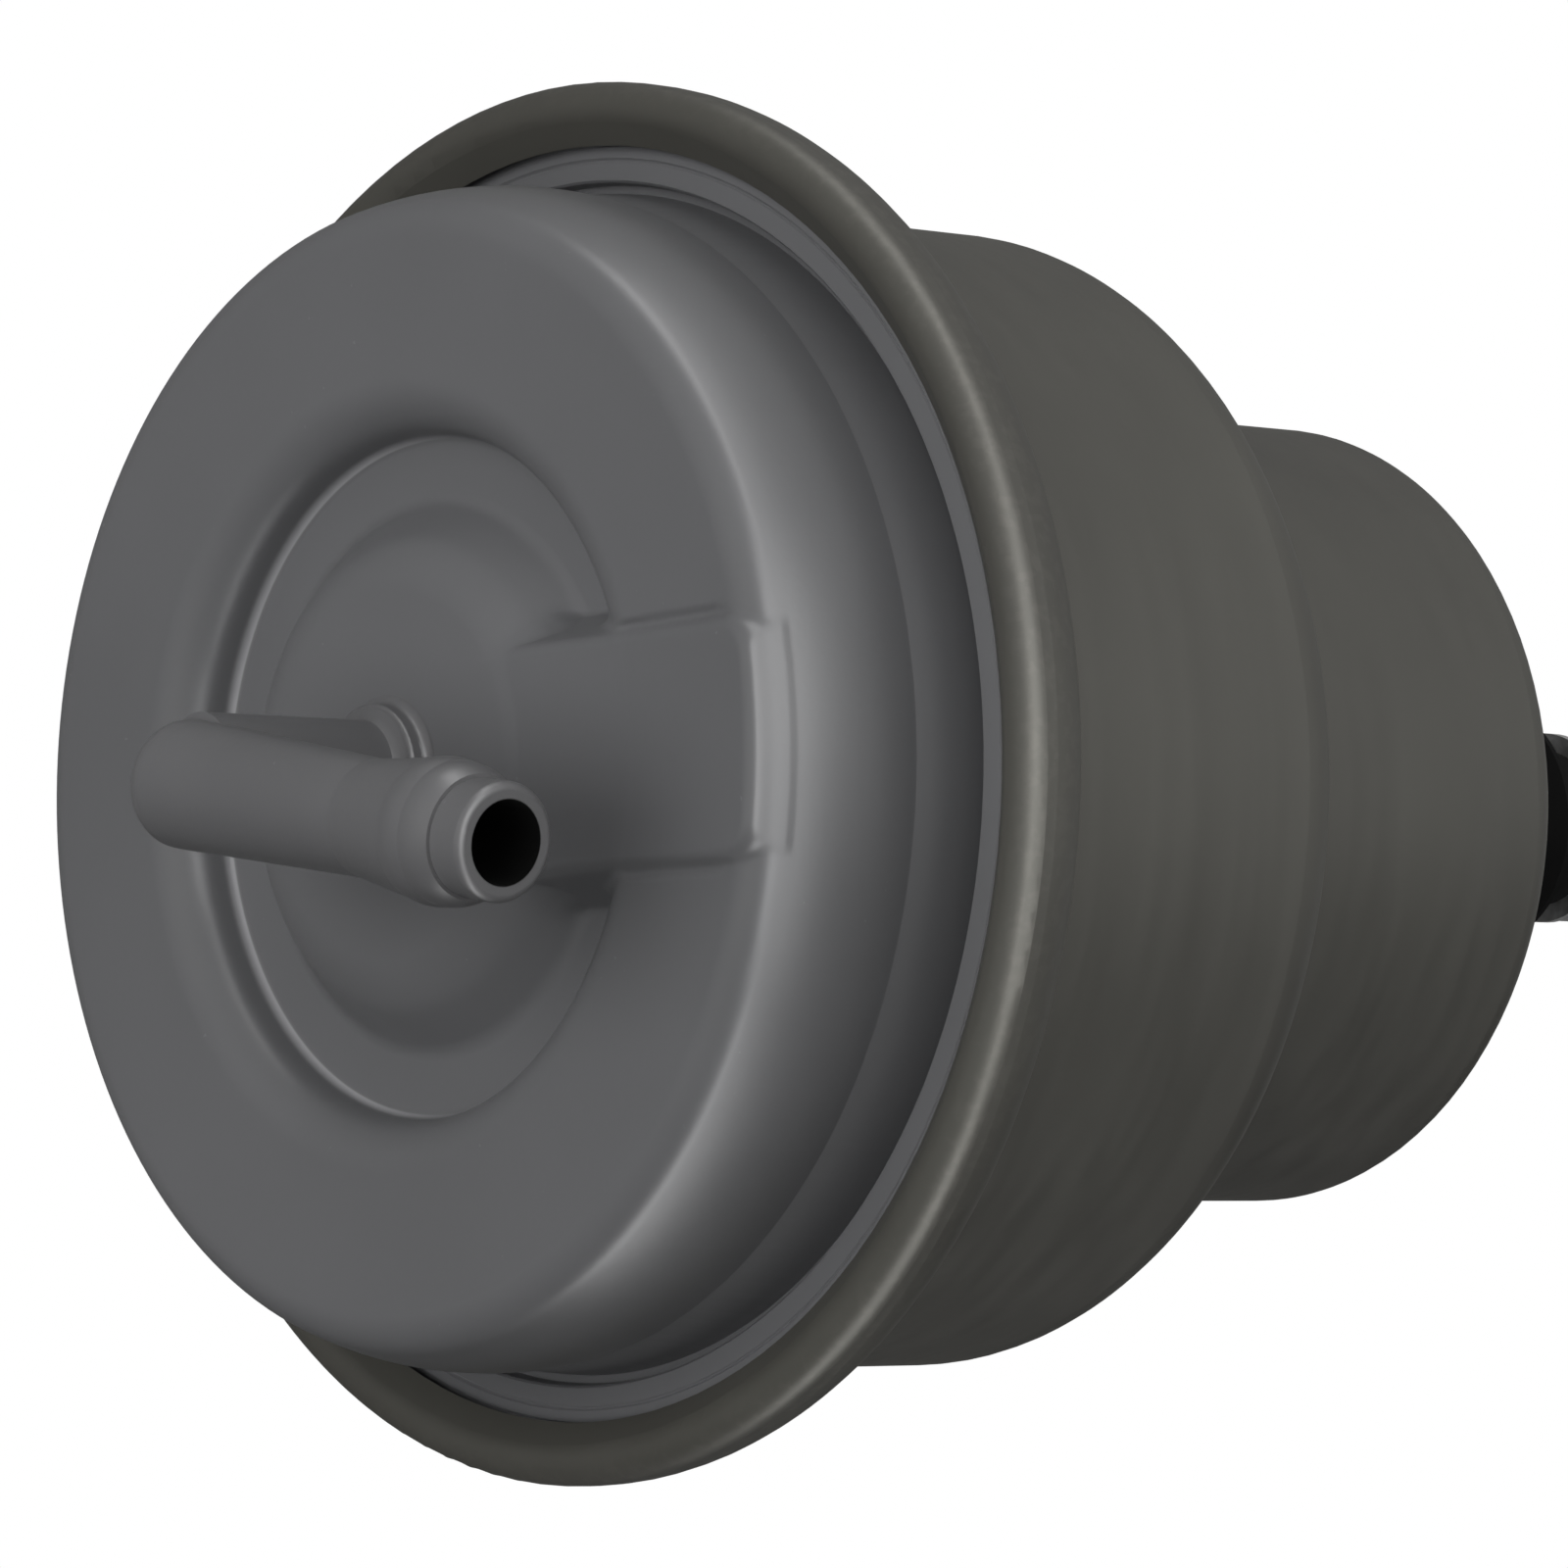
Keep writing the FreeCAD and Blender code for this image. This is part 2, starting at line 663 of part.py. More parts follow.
bendCentreX = seatBack + rimBend
bendCentreR = bigRadius + rimBend
legOut = bigRadius - sheetWall - softGap
legIn = skirtRadius + softGap
turnOuter = (legOut - legIn) / 2
turnInner = turnOuter - rubberWall
crownX = -crownDepth
cornerX = crownX + pistonCorner
cornerR = skirtRadius - pistonCorner
diaphragm = lathe("diaphragm", [
    (crownX, neckRadius + 0.1),
    (crownX, cornerR - softGap),
    (crownX - softGap, cornerR),
    (cornerX, legIn),
    (-rollBack, legIn),
    (-rollBack + turnOuter, legIn + turnOuter),
    (-rollBack, legOut),
    (bendCentreX, legOut),
    (seatFront - softGap, bendCentreR),
    (seatFront, bendCentreR + softGap),
    (seatFront, rimRadius - rimCorner - softGap),
    (flangeBack, flangeRadius - 0.4),
    (flangeBack, bendCentreR),
    (bendCentreX, legOut - rubberWall),
    (-rollBack, legOut - rubberWall),
    (-rollBack + turnInner, legIn + turnOuter),
    (-rollBack, legIn + rubberWall),
    (cornerX, legIn + rubberWall),
    (crownX - softGap - rubberWall, cornerR),
    (crownX - rubberWall, cornerR - softGap),
    (crownX - rubberWall, neckRadius + 0.1),
], {
    2: (pistonCorner + softGap, -1),
    4: (turnOuter, 1),
    5: (turnOuter, 1),
    7: (rimBend + sheetWall + softGap, -1),
    12: (bendCentreX - flangeBack, 1),
    14: (turnInner, -1),
    15: (turnInner, -1),
    17: (pistonCorner + softGap + rubberWall, 1),
})
finish("diaphragm", diaphragm)

# Plate and washer on the pressure side, piston on the spring side

plateBack = crownX - rubberWall
plateFront = plateBack - plateHeight
neckHole = neckRadius + fitGap
clampPlate = lathe("clamp_plate", [
    (plateBack, neckHole),
    (plateBack, plateRadius),
    (plateFront, plateRadius),
    (plateFront, neckHole),
])
roundOff(clampPlate, "clamp_plate_edge", plateBack, plateRadius, 0.35)
finish("clamp_plate", clampPlate)

washerFront = plateFront - washerHeight
headWasher = lathe("head_washer", [
    (plateFront, neckHole),
    (plateFront, washerRadius),
    (washerFront, washerRadius),
    (washerFront, neckHole),
])
roundOff(headWasher, "head_washer_edge", washerFront, washerRadius, 0.2)
finish("head_washer", headWasher)

crownBack = crownX + crownHeight
piston = lathe("piston", [
    (crownX, neckHole),
    (crownX, skirtRadius),
    (-skirtDepth, skirtRadius),
    (-skirtDepth, skirtRadius - skirtWall),
    (crownBack, skirtRadius - skirtWall),
    (crownBack, neckHole),
])
roundOff(piston, "piston_corner", crownX, skirtRadius, pistonCorner)
roundOff(piston, "piston_corner_in", crownBack, skirtRadius - skirtWall, 0.5)
finish("piston", piston)

# Rod with peened head, collar and threaded tail

bootEnd = bootReach
stopBack = bootEnd + stopHeight
nutBack = stopBack + nutHeight
rodEnd = nutBack + rodTail
rod = lathe("rod", [
    (washerFront - headHeight, 0),
    (washerFront - headHeight, headRadius - 1.6),
    (washerFront, headRadius),
    (washerFront, neckRadius),
    (crownBack, neckRadius),
    (crownBack, collarRadius),
    (crownBack + collarLength, collarRadius),
    (crownBack + collarLength, rodRadius),
    (rodEnd - 0.6, rodRadius),
    (rodEnd, rodRadius - 0.6),
    (rodEnd, 0),
], {1: (2.6, -1)})
finish("rod", rod)

# Coil spring with ground ends

springFront = crownBack
springRear = -(sheetWall + studPlateHeight + seatHeight)
springSpan = springRear - springFront
springBody = doc.addObject("PartDesign::Body", "main_spring")
wireSketch = newSketch(springBody, "spring_wire", "XZ_Plane")
wireHalf = springWire / 2
wireMark = wireSketch.addGeometry(Part.Circle(
    FreeCAD.Vector(springFront.number, springRadius.number, 0), FreeCAD.Vector(0, 0, 1), wireHalf.number), False)
pin(wireSketch, wireMark, 3, 0, springFront)
pin(wireSketch, wireMark, 3, 1, springRadius)
wireSize = wireSketch.addConstraint(Sketcher.Constraint("Radius", wireMark, wireHalf.number))
wireSketch.setExpression("Constraints[%d]" % wireSize, wireHalf.text)
coil = springBody.newObject("PartDesign::AdditiveHelix", "spring_coil")
coil.Profile = wireSketch
coil.ReferenceAxis = (wireSketch, ["H_Axis"])
coil.Mode = 1
coil.Pitch = (springSpan / springTurns).number
coil.setExpression("Pitch", (springSpan / springTurns).text)
coil.Turns = springTurns.number
coil.Height = springSpan.number
coil.setExpression("Height", springSpan.text)
coil.Angle = 0
doc.recompute()
springSleeve = lathe("spring_sleeve", [
    (springFront, springRadius - springWire),
    (springFront, springRadius + springWire),
    (springRear, springRadius + springWire),
    (springRear, springRadius - springWire),
])
groundSpring = doc.addObject("Part::Common", "ground_spring")
groundSpring.Base = springBody
groundSpring.Tool = springSleeve
doc.recompute()
finish("main_spring", groundSpring)

# Seat ring, stud plate and studs

seatX = -(sheetWall + studPlateHeight)
springSeat = lathe("spring_seat", [
    (seatX, seatInner),
    (seatX, seatOuter),
    (springRear, seatOuter),
    (springRear, seatLip),
    (springRear - seatLipHeight, seatLip - 0.5),
    (springRear - seatLipHeight, seatInner),
])
finish("spring_seat", springSeat)

studPlate = lathe("stud_plate", [
    (-sheetWall, floorHole),
    (-sheetWall, studPlateRadius - 1.2),
    (-sheetWall - 1.2, studPlateRadius),
    (seatX, studPlateRadius),
    (seatX, floorHole),
])
studDepth = studPlateHeight + sheetWall + 0.5
holesOnCircle(studPlate, "stud_plate_holes", studShank + fitGap, studPlaces, studDepth)
holesOnCircle(studPlate, "stud_plate_vent", ventRadius, [(ventCircle, 0)], studDepth)
recessTools = []
for number, side in enumerate((1, -1)):
    recessTools.append(cylinder("stud_recess_%d" % number, studHead + fitGap, studHeadHeight + 1.0,
                                (seatX + studHeadHeight, 0, studHalf * side), -alongX))
recessed = cut("stud_plate_recessed", studPlate, fuse("stud_recesses", recessTools))
finish("stud_plate", recessed)

studs = []
for number, side in enumerate((1, -1)):
    body = lathe("stud_%d" % number, [
        (seatX, 0),
        (seatX, studHead),
        (seatX + studHeadHeight, studHead),
        (seatX + studHeadHeight, studShank),
        (0, studShank),
        (0, studRadius),
        (studLength - studChamfer, studRadius),
        (studLength, studRadius - studChamfer),
        (studLength, 0),
    ])
    body.setExpression("Placement.Base.z", (studHalf * side).text)
    studs.append(body)
mountingStuds = fuse("mounting_studs", studs)
finish("mounting_studs", mountingStuds)

# Rod guide: cup, bush, wiper and cap

cupInner = bushOuter + fitGap
bushCup = lathe("bush_cup", [
    (-(bushFront + cupWall), rodRadius + 0.6),
    (-(bushFront + cupWall), cupOuter),
    (seatX - cupWall, cupOuter),
    (seatX - cupWall, cupFlange),
    (seatX, cupFlange),
    (seatX, cupOuter),
    (cupReach, cupOuter),
    (cupReach, cupInner),
    (-bushFront, cupInner),
    (-bushFront, rodRadius + 0.6),
])
finish("bush_cup", bushCup)

rodBush = lathe("rod_bush", [
    (-bushFront, rodRadius + runGap),
    (-bushFront, bushOuter),
    (-bushRear, bushOuter),
    (-bushRear, rodRadius + runGap),
])
finish("rod_bush", rodBush)

rodWiper = lathe("rod_wiper", [
    (-bushRear + 0.1, rodRadius + 0.5),
    (-bushRear + 0.1, bushOuter),
    (wiperRear, bushOuter),
    (wiperRear, rodRadius + runGap * 2),
    (wiperRear - 0.5, rodRadius + runGap * 2),
])
finish("rod_wiper", rodWiper)

capInner = cupOuter + fitGap
capOuter = capInner + capWall
capFront = cupReach + 0.05
capStart = -sheetWall + fitGap
wiperCap = lathe("wiper_cap", [
    (capStart, capInner),
    (capStart, capOuter),
    (capFront + capWall, capOuter),
    (capFront + capWall, rodRadius + 0.4),
    (capFront, rodRadius + 0.4),
    (capFront, capInner),
])
roundOff(wiperCap, "wiper_cap_edge", capFront + capWall, capOuter, 0.4)
finish("wiper_cap", wiperCap)

# Bellows boot with its clip

bootIn = capOuter + softGap
bootOut = bootIn + bootWall
foldStart = bootCollar + 0.8
foldCount = 4
foldSpan = (bootReach - 3.0 - foldStart) / foldCount
bootStart = -sheetWall + softGap
outerSide = [(bootStart, bootOut), (1.2, bootOut), (1.5, bootOut - 0.3), (2.2, bootOut - 0.3), (2.5, bootOut),
             (bootCollar, bootOut)]
innerSide = [(bootStart, bootIn), (bootCollar - 0.4, bootIn)]
for fold in range(foldCount):
    valley = foldStart + foldSpan * fold
    peak = valley + foldSpan * 0.5
    shrink = bootFold * (fold / float(foldCount)) * 0.8
    outerSide.append((valley, bootNeck + bootWall - shrink * 0.1))
    outerSide.append((peak - 0.15, bootWide - shrink))
    outerSide.append((peak + 0.15, bootWide - shrink))
    innerSide.append((valley + 0.05, bootNeck - shrink * 0.1))
    innerSide.append((peak, bootWide - shrink - bootWall * 1.2))
outerSide.append((bootReach - 3.0, bootNarrow - 0.2))
outerSide.append((bootReach - 2.4, bootNarrow))
outerSide.append((bootReach, bootNarrow))
innerSide.append((bootReach - 3.2, rodRadius + runGap))
innerSide.append((bootReach, rodRadius + runGap))
rodBoot = lathe("rod_boot", outerSide + innerSide[::-1])
finish("rod_boot", rodBoot)

clipRadius = bootOut - 0.3 + clipWire + 0.02
bootClip = doc.addObject("Part::Torus", "boot_clip")
bootClip.Radius1 = clipRadius.number
bootClip.setExpression("Radius1", clipRadius.text)
bootClip.Radius2 = clipWire.number
bootClip.setExpression("Radius2", clipWire.text)
clipTurn = FreeCAD.Rotation(FreeCAD.Vector(0, 0, 1), alongX)
bootClip.Placement = FreeCAD.Placement(FreeCAD.Vector(1.85, 0, 0), clipTurn)
finish("boot_clip", bootClip)

# Soft stop for the piston skirt

bumpFront = bigFace - sheetWall - bumpHeight
bumpRing = lathe("bump_ring", [
    (bumpFront, bumpInner),
    (bumpFront, bumpOuter),
    (bigFace - sheetWall, bumpOuter),
    (bigFace - sheetWall, bumpInner),
])
roundOff(bumpRing, "bump_ring_edge", bumpFront, bumpOuter, 0.4)
finish("bump_ring", bumpRing)

# Washer, jam nut, rod end and its sleeve

threadHole = rodRadius + runGap
stopWasher = lathe("stop_washer", [
    (bootEnd, threadHole),
    (bootEnd, stopRadius),
    (stopBack, stopRadius),
    (stopBack, threadHole),
])
roundOff(stopWasher, "stop_washer_edge", stopBack, stopRadius, 0.2)
finish("stop_washer", stopWasher)

nutCorner = nutFlats / math.sqrt(3.0)
nutBlock = doc.addObject("Part::Prism", "nut_block")
nutBlock.Polygon = 6
nutBlock.Circumradius = nutCorner.number
nutBlock.setExpression("Circumradius", nutCorner.text)
nutBlock.Height = nutHeight.number
nutBlock.setExpression("Height", nutHeight.text)
nutTurn = FreeCAD.Rotation(FreeCAD.Vector(0, 0, 1), alongX)
nutBlock.Placement = FreeCAD.Placement(FreeCAD.Vector(0, 0, 0), nutTurn)
nutBlock.setExpression("Placement.Base.x", stopBack.text)
nutForm = lathe("nut_form", [
    (stopBack, threadHole + 0.35),
    (stopBack, nutFlats / 2 - 0.1),
    (stopBack + 0.5, nutCorner + 0.05),
    (nutBack - 0.5, nutCorner + 0.05),
    (nutBack, nutFlats / 2 - 0.1),
    (nutBack, threadHole + 0.35),
    (nutBack - 0.35, threadHole),
    (stopBack + 0.35, threadHole),
])
jamNut = doc.addObject("Part::Common", "jam_nut")
jamNut.Base = nutBlock
jamNut.Tool = nutForm
doc.recompute()
finish("jam_nut", jamNut)

endX = nutBack
eyeX = endX + endLength
shank = lathe("end_shank", [
    (endX, 0),
    (endX, endShank - 0.4),
    (endX + 0.4, endShank),
    (eyeX - eyeRadius + 1.5, endShank),
    (eyeX, endShank - 1.5),
    (eyeX, 0),
])
halfEye = eyeWidth / 2
eye = cylinder("eye_disc", eyeRadius, eyeWidth, (eyeX, -halfEye, 0), alongY)
eyeForm = fuse("eye_form", [shank, eye])
eyeHole = cylinder("eye_hole", eyeBush + fitGap, eyeWidth + 8.0, (eyeX, -halfEye - 4.0, 0), alongY)
threadBore = cylinder("end_bore", threadHole, rodTail + 1.0, (endX - 0.5, 0, 0), alongX)
rodEndPiece = cut("rod_end", eyeForm, fuse("end_bores", [eyeHole, threadBore]))
finish("rod_end", rodEndPiece)

bushTube = cylinder("eye_bush_outer", eyeBush, eyeWidth + 0.6, (eyeX, -halfEye - 0.3, 0), alongY)
bushHole = cylinder("eye_bush_hole", eyeBore, eyeWidth + 4.0, (eyeX, -halfEye - 2.0, 0), alongY)
eyeSleeve = cut("eye_bush", bushTube, bushHole)
finish("eye_bush", eyeSleeve)

# Checks and export

doc.recompute()
for item in doc.Objects:
    for mark in ("Invalid", "Error"):
        if mark in item.State:
            raise RuntimeError(item.Name + " is " + mark)
for name in sorted(nodes):
    item = nodes[name]
    shape = item.Shape
    if shape.isNull() or not shape.isValid():
        raise RuntimeError(name + " has no valid shape")
    shape.exportStep("parts/" + name + ".step")
    box = shape.BoundBox
    print("%-15s solids %d volume %9.1f x %7.2f %7.2f y %6.2f %6.2f z %6.2f %6.2f" % (
        name, len(shape.Solids), shape.Volume, box.XMin, box.XMax, box.YMin, box.YMax, box.ZMin, box.ZMax))
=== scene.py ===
import bpy
import bmesh
import math
import numpy as np
from mathutils import Matrix, Vector


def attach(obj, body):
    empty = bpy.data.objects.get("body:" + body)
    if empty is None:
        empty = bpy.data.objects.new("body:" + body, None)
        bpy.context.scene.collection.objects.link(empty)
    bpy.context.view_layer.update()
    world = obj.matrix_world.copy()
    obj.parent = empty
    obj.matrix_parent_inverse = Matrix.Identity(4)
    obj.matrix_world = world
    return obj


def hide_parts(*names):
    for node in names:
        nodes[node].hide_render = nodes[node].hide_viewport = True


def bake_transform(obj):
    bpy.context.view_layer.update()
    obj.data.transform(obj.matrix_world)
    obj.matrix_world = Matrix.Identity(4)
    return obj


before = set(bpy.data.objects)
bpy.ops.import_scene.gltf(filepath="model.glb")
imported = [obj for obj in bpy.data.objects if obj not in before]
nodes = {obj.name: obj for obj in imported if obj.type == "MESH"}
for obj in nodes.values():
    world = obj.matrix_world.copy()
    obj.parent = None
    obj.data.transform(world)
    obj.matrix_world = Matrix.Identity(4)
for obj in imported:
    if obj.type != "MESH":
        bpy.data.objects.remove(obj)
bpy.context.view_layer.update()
millimetre = 0.001
print("stage: frame loaded")


# Helpers for pieces and shaders

def makePiece(name, shape, material):
    mesh = bpy.data.meshes.new(name)
    shape.to_mesh(mesh)
    shape.free()
    mesh.materials.clear()
    mesh.materials.append(material)
    piece = bpy.data.objects.new(name, mesh)
    bpy.context.scene.collection.objects.link(piece)
    return piece


def newMaterial(name):
    material = bpy.data.materials.new(name)
    material.use_nodes = True
    tree = material.node_tree
    return material, tree, tree.nodes["Principled BSDF"]


def addNode(tree, kind, **settings):
    node = tree.nodes.new(kind)
    for key, value in settings.items():
        setattr(node, key, value)
    return node


def mathNode(tree, operation, *values):
    node = addNode(tree, "ShaderNodeMath", operation=operation)
    for index, value in enumerate(values):
        if isinstance(value, (int, float)):
            node.inputs[index].default_value = value
        else:
            tree.links.new(value, node.inputs[index])
    return node.outputs[0]


def vectorNode(tree, operation, first, second=None):
    node = addNode(tree, "ShaderNodeVectorMath", operation=operation)
    tree.links.new(first, node.inputs[0])
    if second is not None:
        node.inputs[1].default_value = second
    return node


def objectPlace(tree):
    place = addNode(tree, "ShaderNodeTexCoord").outputs["Object"]
    split = addNode(tree, "ShaderNodeSeparateXYZ")
    tree.links.new(place, split.inputs[0])
    return place, split.outputs[0], split.outputs[1], split.outputs[2]


def radiusNode(tree, y, z):
    squares = [mathNode(tree, "MULTIPLY", value, value) for value in (y, z)]
    return mathNode(tree, "SQRT", mathNode(tree, "ADD", *squares))


def noiseNode(tree, vector, scale, detail=3.0, roughness=0.5):
    node = addNode(tree, "ShaderNodeTexNoise")
    for key, value in (("Scale", scale), ("Detail", detail), ("Roughness", roughness)):
        node.inputs[key].default_value = value
    tree.links.new(vector, node.inputs["Vector"])
    return node.outputs[0]


def mapRange(tree, value, low, high, outLow, outHigh, smooth=False):
    node = addNode(tree, "ShaderNodeMapRange")
    if smooth:
        node.interpolation_type = "SMOOTHSTEP"
    tree.links.new(value, node.inputs["Value"])
    for key, number in (("From Min", low), ("From Max", high), ("To Min", outLow), ("To Max", outHigh)):
        node.inputs[key].default_value = number
    return node.outputs[0]


def mixColour(tree, factor, first, second):
    node = addNode(tree, "ShaderNodeMix", data_type="RGBA")
    tree.links.new(factor, node.inputs[0])
    for index, value in ((6, first), (7, second)):
        if isinstance(value, tuple):
            node.inputs[index].default_value = (*value, 1.0)
        else:
            tree.links.new(value, node.inputs[index])
    return node.outputs[2]


# the part of a noise's range that the colour or the roughness follows
cloudSpread = (0.35, 0.65)
roughSpread = (0.3, 0.7)


def cloudColour(tree, cloud, dark, light):
    return mixColour(tree, mapRange(tree, cloud, *cloudSpread, 0.0, 1.0), dark, light)


def setFinish(tree, shader, base, roughNoise, height, values):
    tree.links.new(base, shader.inputs["Base Color"])
    rough = mapRange(tree, roughNoise, *roughSpread, values["roughLow"], values["roughHigh"])
    tree.links.new(rough, shader.inputs["Roughness"])
    bump = addNode(tree, "ShaderNodeBump")
    bump.inputs["Strength"].default_value = values["bumpStrength"]
    bump.inputs["Distance"].default_value = values["bumpDepth"]
    tree.links.new(height, bump.inputs["Height"])
    tree.links.new(bump.outputs[0], shader.inputs["Normal"])


def turnedPlace(tree, values):
    # texture place for marks that run round the rod's axis
    place, x, y, z = objectPlace(tree)
    radius = radiusNode(tree, y, z)
    turn = mathNode(tree, "COSINE", mathNode(tree, "ARCTAN2", z, y))
    joined = addNode(tree, "ShaderNodeCombineXYZ")
    for index, (value, key) in enumerate(((x, "along"), (turn, "around"), (radius, "out"))):
        tree.links.new(mathNode(tree, "MULTIPLY", value, values[key]), joined.inputs[index])
    return place, joined.outputs[0], x, radius


def showToCamera(tree, output, hidden, shown):
    # the camera sees one shader, and the light meets the other
    mix = addNode(tree, "ShaderNodeMixShader")
    path = addNode(tree, "ShaderNodeLightPath")
    tree.links.new(path.outputs["Is Camera Ray"], mix.inputs[0])
    tree.links.new(hidden.outputs[0], mix.inputs[1])
    tree.links.new(shown.outputs[0], mix.inputs[2])
    tree.links.new(mix.outputs[0], tree.nodes[output].inputs["Surface"])


# Materials, one for each kind of piece

def paintedHighlightLine(tree, x, y, z, values):
    # painted highlight: a light line runs along the foot of the moat's far wall, fading out towards -Y
    away = mathNode(tree, "SUBTRACT", radiusNode(tree, y, z), values["lineRadius"] * millimetre)
    inside, outside = [value * millimetre for value in values["lineHalf"]]
    line = mapRange(tree, mathNode(tree, "ABSOLUTE", away), inside, outside, 1.0, 0.0, True)
    deep, shallow = [value * millimetre for value in values["lineDepth"]]
    line = mathNode(tree, "MULTIPLY", line, mapRange(tree, x, deep, shallow, 0.0, 1.0))
    faint, strong = [value * millimetre for value in values["lineSide"]]
    return mathNode(tree, "MULTIPLY", line, mapRange(tree, y, faint, strong, 0.0, values["lineAmount"], True))


def paintedBoreShade(tree, place, values):
    # painted shade inside the tube's bore: near the tube's axis and past its closed heel
    start = [value * millimetre for value in values["tubeStart"]]
    offset = vectorNode(tree, "SUBTRACT", place, start).outputs[0]
    aside = vectorNode(tree, "CROSS_PRODUCT", offset, values["tubeWay"]).outputs[0]
    distance = vectorNode(tree, "LENGTH", aside).outputs[1]
    edge = values["boreRadius"] * millimetre
    near = mapRange(tree, distance, edge, edge + values["boreFade"] * millimetre, 1.0, 0.0)
    along = vectorNode(tree, "DOT_PRODUCT", offset, values["tubeWay"]).outputs[1]
    heelFrom, heelTo = [value * millimetre for value in values["heel"]]
    return mathNode(tree, "MULTIPLY", near, mapRange(tree, along, heelFrom, heelTo, 0.0, 1.0))


def mouldedPlastic(name, values):
    material, tree, shader = newMaterial(name)
    place, x, y, z = objectPlace(tree)
    cloud = noiseNode(tree, place, values["cloudScale"], detail=4.0)
    grain = noiseNode(tree, place, values["grainScale"], detail=2.0)
    specks = noiseNode(tree, place, values["speckScale"], detail=1.0)
    dust = mapRange(tree, specks, values["speckFrom"], values["speckTo"], 0.0, 1.0)
    base = cloudColour(tree, cloud, values["dark"], values["light"])
    base = mixColour(tree, mathNode(tree, "MULTIPLY", dust, values["speckAmount"]), base, values["speck"])
    if "lineRadius" in values:
        # painted highlight along the foot of the moat's far wall
        base = mixColour(tree, paintedHighlightLine(tree, x, y, z, values), base, values["highlightColour"])
    if "tubeStart" in values:
        # painted shade: near-black inside the tube's bore
        base = mixColour(tree, paintedBoreShade(tree, place, values), base, values["boreShadeColour"])
    shader.inputs["IOR"].default_value = values["ior"]
    setFinish(tree, shader, base, cloud, grain, values)
    return material


def coatedSteel(name, values):
    material, tree, shader = newMaterial(name)
    place, turned, _, radius = turnedPlace(tree, values)
    cloud = noiseNode(tree, place, values["cloudScale"], detail=5.0)
    drawn = noiseNode(tree, turned, 1.0)
    pits = noiseNode(tree, place, values["pitScale"], detail=2.0)
    base = cloudColour(tree, cloud, values["dark"], values["light"])
    wearFrom, wearTo = [value * millimetre for value in values["wear"]]
    wear = mapRange(tree, radius, wearFrom, wearTo, 0.0, 1.0, True)
    broken = mapRange(tree, pits, values["pitFrom"], values["pitTo"], 0.0, values["wearAmount"])
    base = mixColour(tree, mathNode(tree, "MULTIPLY", wear, broken), base, values["worn"])
    shader.inputs["Metallic"].default_value = values["metallic"]
    height = mathNode(tree, "ADD", mathNode(tree, "MULTIPLY", drawn, values["drawnShare"]), pits)
    setFinish(tree, shader, base, drawn, height, values)
    return material


def softRubber(name, values):
    material, tree, shader = newMaterial(name)
    shader.inputs["Specular IOR Level"].default_value = values["shine"]
    place = objectPlace(tree)[0]
    cloud = noiseNode(tree, place, values["cloudScale"], detail=4.0)
    grain = noiseNode(tree, place, values["grainScale"], detail=2.0)
    bloom = mapRange(tree, cloud, values["bloomFrom"], values["bloomTo"], 0.0, 1.0)
    base = mixColour(tree, bloom, values["dark"], values["bloom"])
    setFinish(tree, shader, base, cloud, grain, values)
    return material


def turnedMetal(name, values):
    material, tree, shader = newMaterial(name)
    place, turned, x, _ = turnedPlace(tree, values)
    rings = noiseNode(tree, turned, 1.0, roughness=0.6)
    cloud = noiseNode(tree, place, values["cloudScale"], detail=4.0)
    base = cloudColour(tree, cloud, values["dark"], values["light"])
    shader.inputs["Metallic"].default_value = 1.0
    height = rings
    if "pitch" in values:
        # a thread shows in the surface only
        turns = 2 * math.pi / (values["pitch"] * millimetre)
        wave = mathNode(tree, "SINE", mathNode(tree, "MULTIPLY", x, turns))
        height = mathNode(tree, "ADD", wave, mathNode(tree, "MULTIPLY", rings, values["ringShare"]))
    setFinish(tree, shader, base, rings, height, values)
    return material


coverValues = {
    "dark": (0.112, 0.113, 0.117), "light": (0.122, 0.123, 0.128), "cloudScale": 45.0,
    "speck": (0.30, 0.30, 0.31), "speckScale": 2200.0, "speckFrom": 0.80, "speckTo": 0.83, "speckAmount": 0.2,
    "roughLow": 0.32, "roughHigh": 0.38, "grainScale": 2600.0, "bumpStrength": 0.10, "bumpDepth": 0.00004,
    "lineRadius": 14.82, "lineHalf": (0.05, 0.13), "lineDepth": (-52.7, -52.3), "lineSide": (-4.0, 6.0),
    "lineAmount": 0.85, "highlightColour": (0.30, 0.30, 0.31), "ior": 1.5,
}
nozzleValues = {
    "dark": (0.108, 0.108, 0.112), "light": (0.118, 0.118, 0.122), "cloudScale": 70.0,
    "speck": (0.28, 0.28, 0.29), "speckScale": 2400.0, "speckFrom": 0.80, "speckTo": 0.83, "speckAmount": 0.2,
    "roughLow": 0.32, "roughHigh": 0.40, "grainScale": 3000.0, "bumpStrength": 0.12, "bumpDepth": 0.00004,
    "tubeStart": (-64.85, 0.0, -0.86), "tubeWay": (0.0, -0.983571, -0.180519), "boreRadius": 1.79,
    "boreFade": 0.04, "heel": (0.3, 0.5), "boreShadeColour": (0.004, 0.004, 0.004), "ior": 1.5,
}
canValues = {
    "dark": (0.074, 0.072, 0.063), "light": (0.086, 0.084, 0.073), "worn": (0.18, 0.17, 0.15),
    "along": 900.0, "around": 6.0, "out": 900.0, "cloudScale": 60.0,
    "pitScale": 1900.0, "pitFrom": 0.5, "pitTo": 0.62, "wear": (29.6, 31.0), "wearAmount": 0.10,
    "metallic": 0.35, "drawnShare": 0.15,
    "roughLow": 0.46, "roughHigh": 0.52, "bumpStrength": 0.2, "bumpDepth": 0.00003,
}
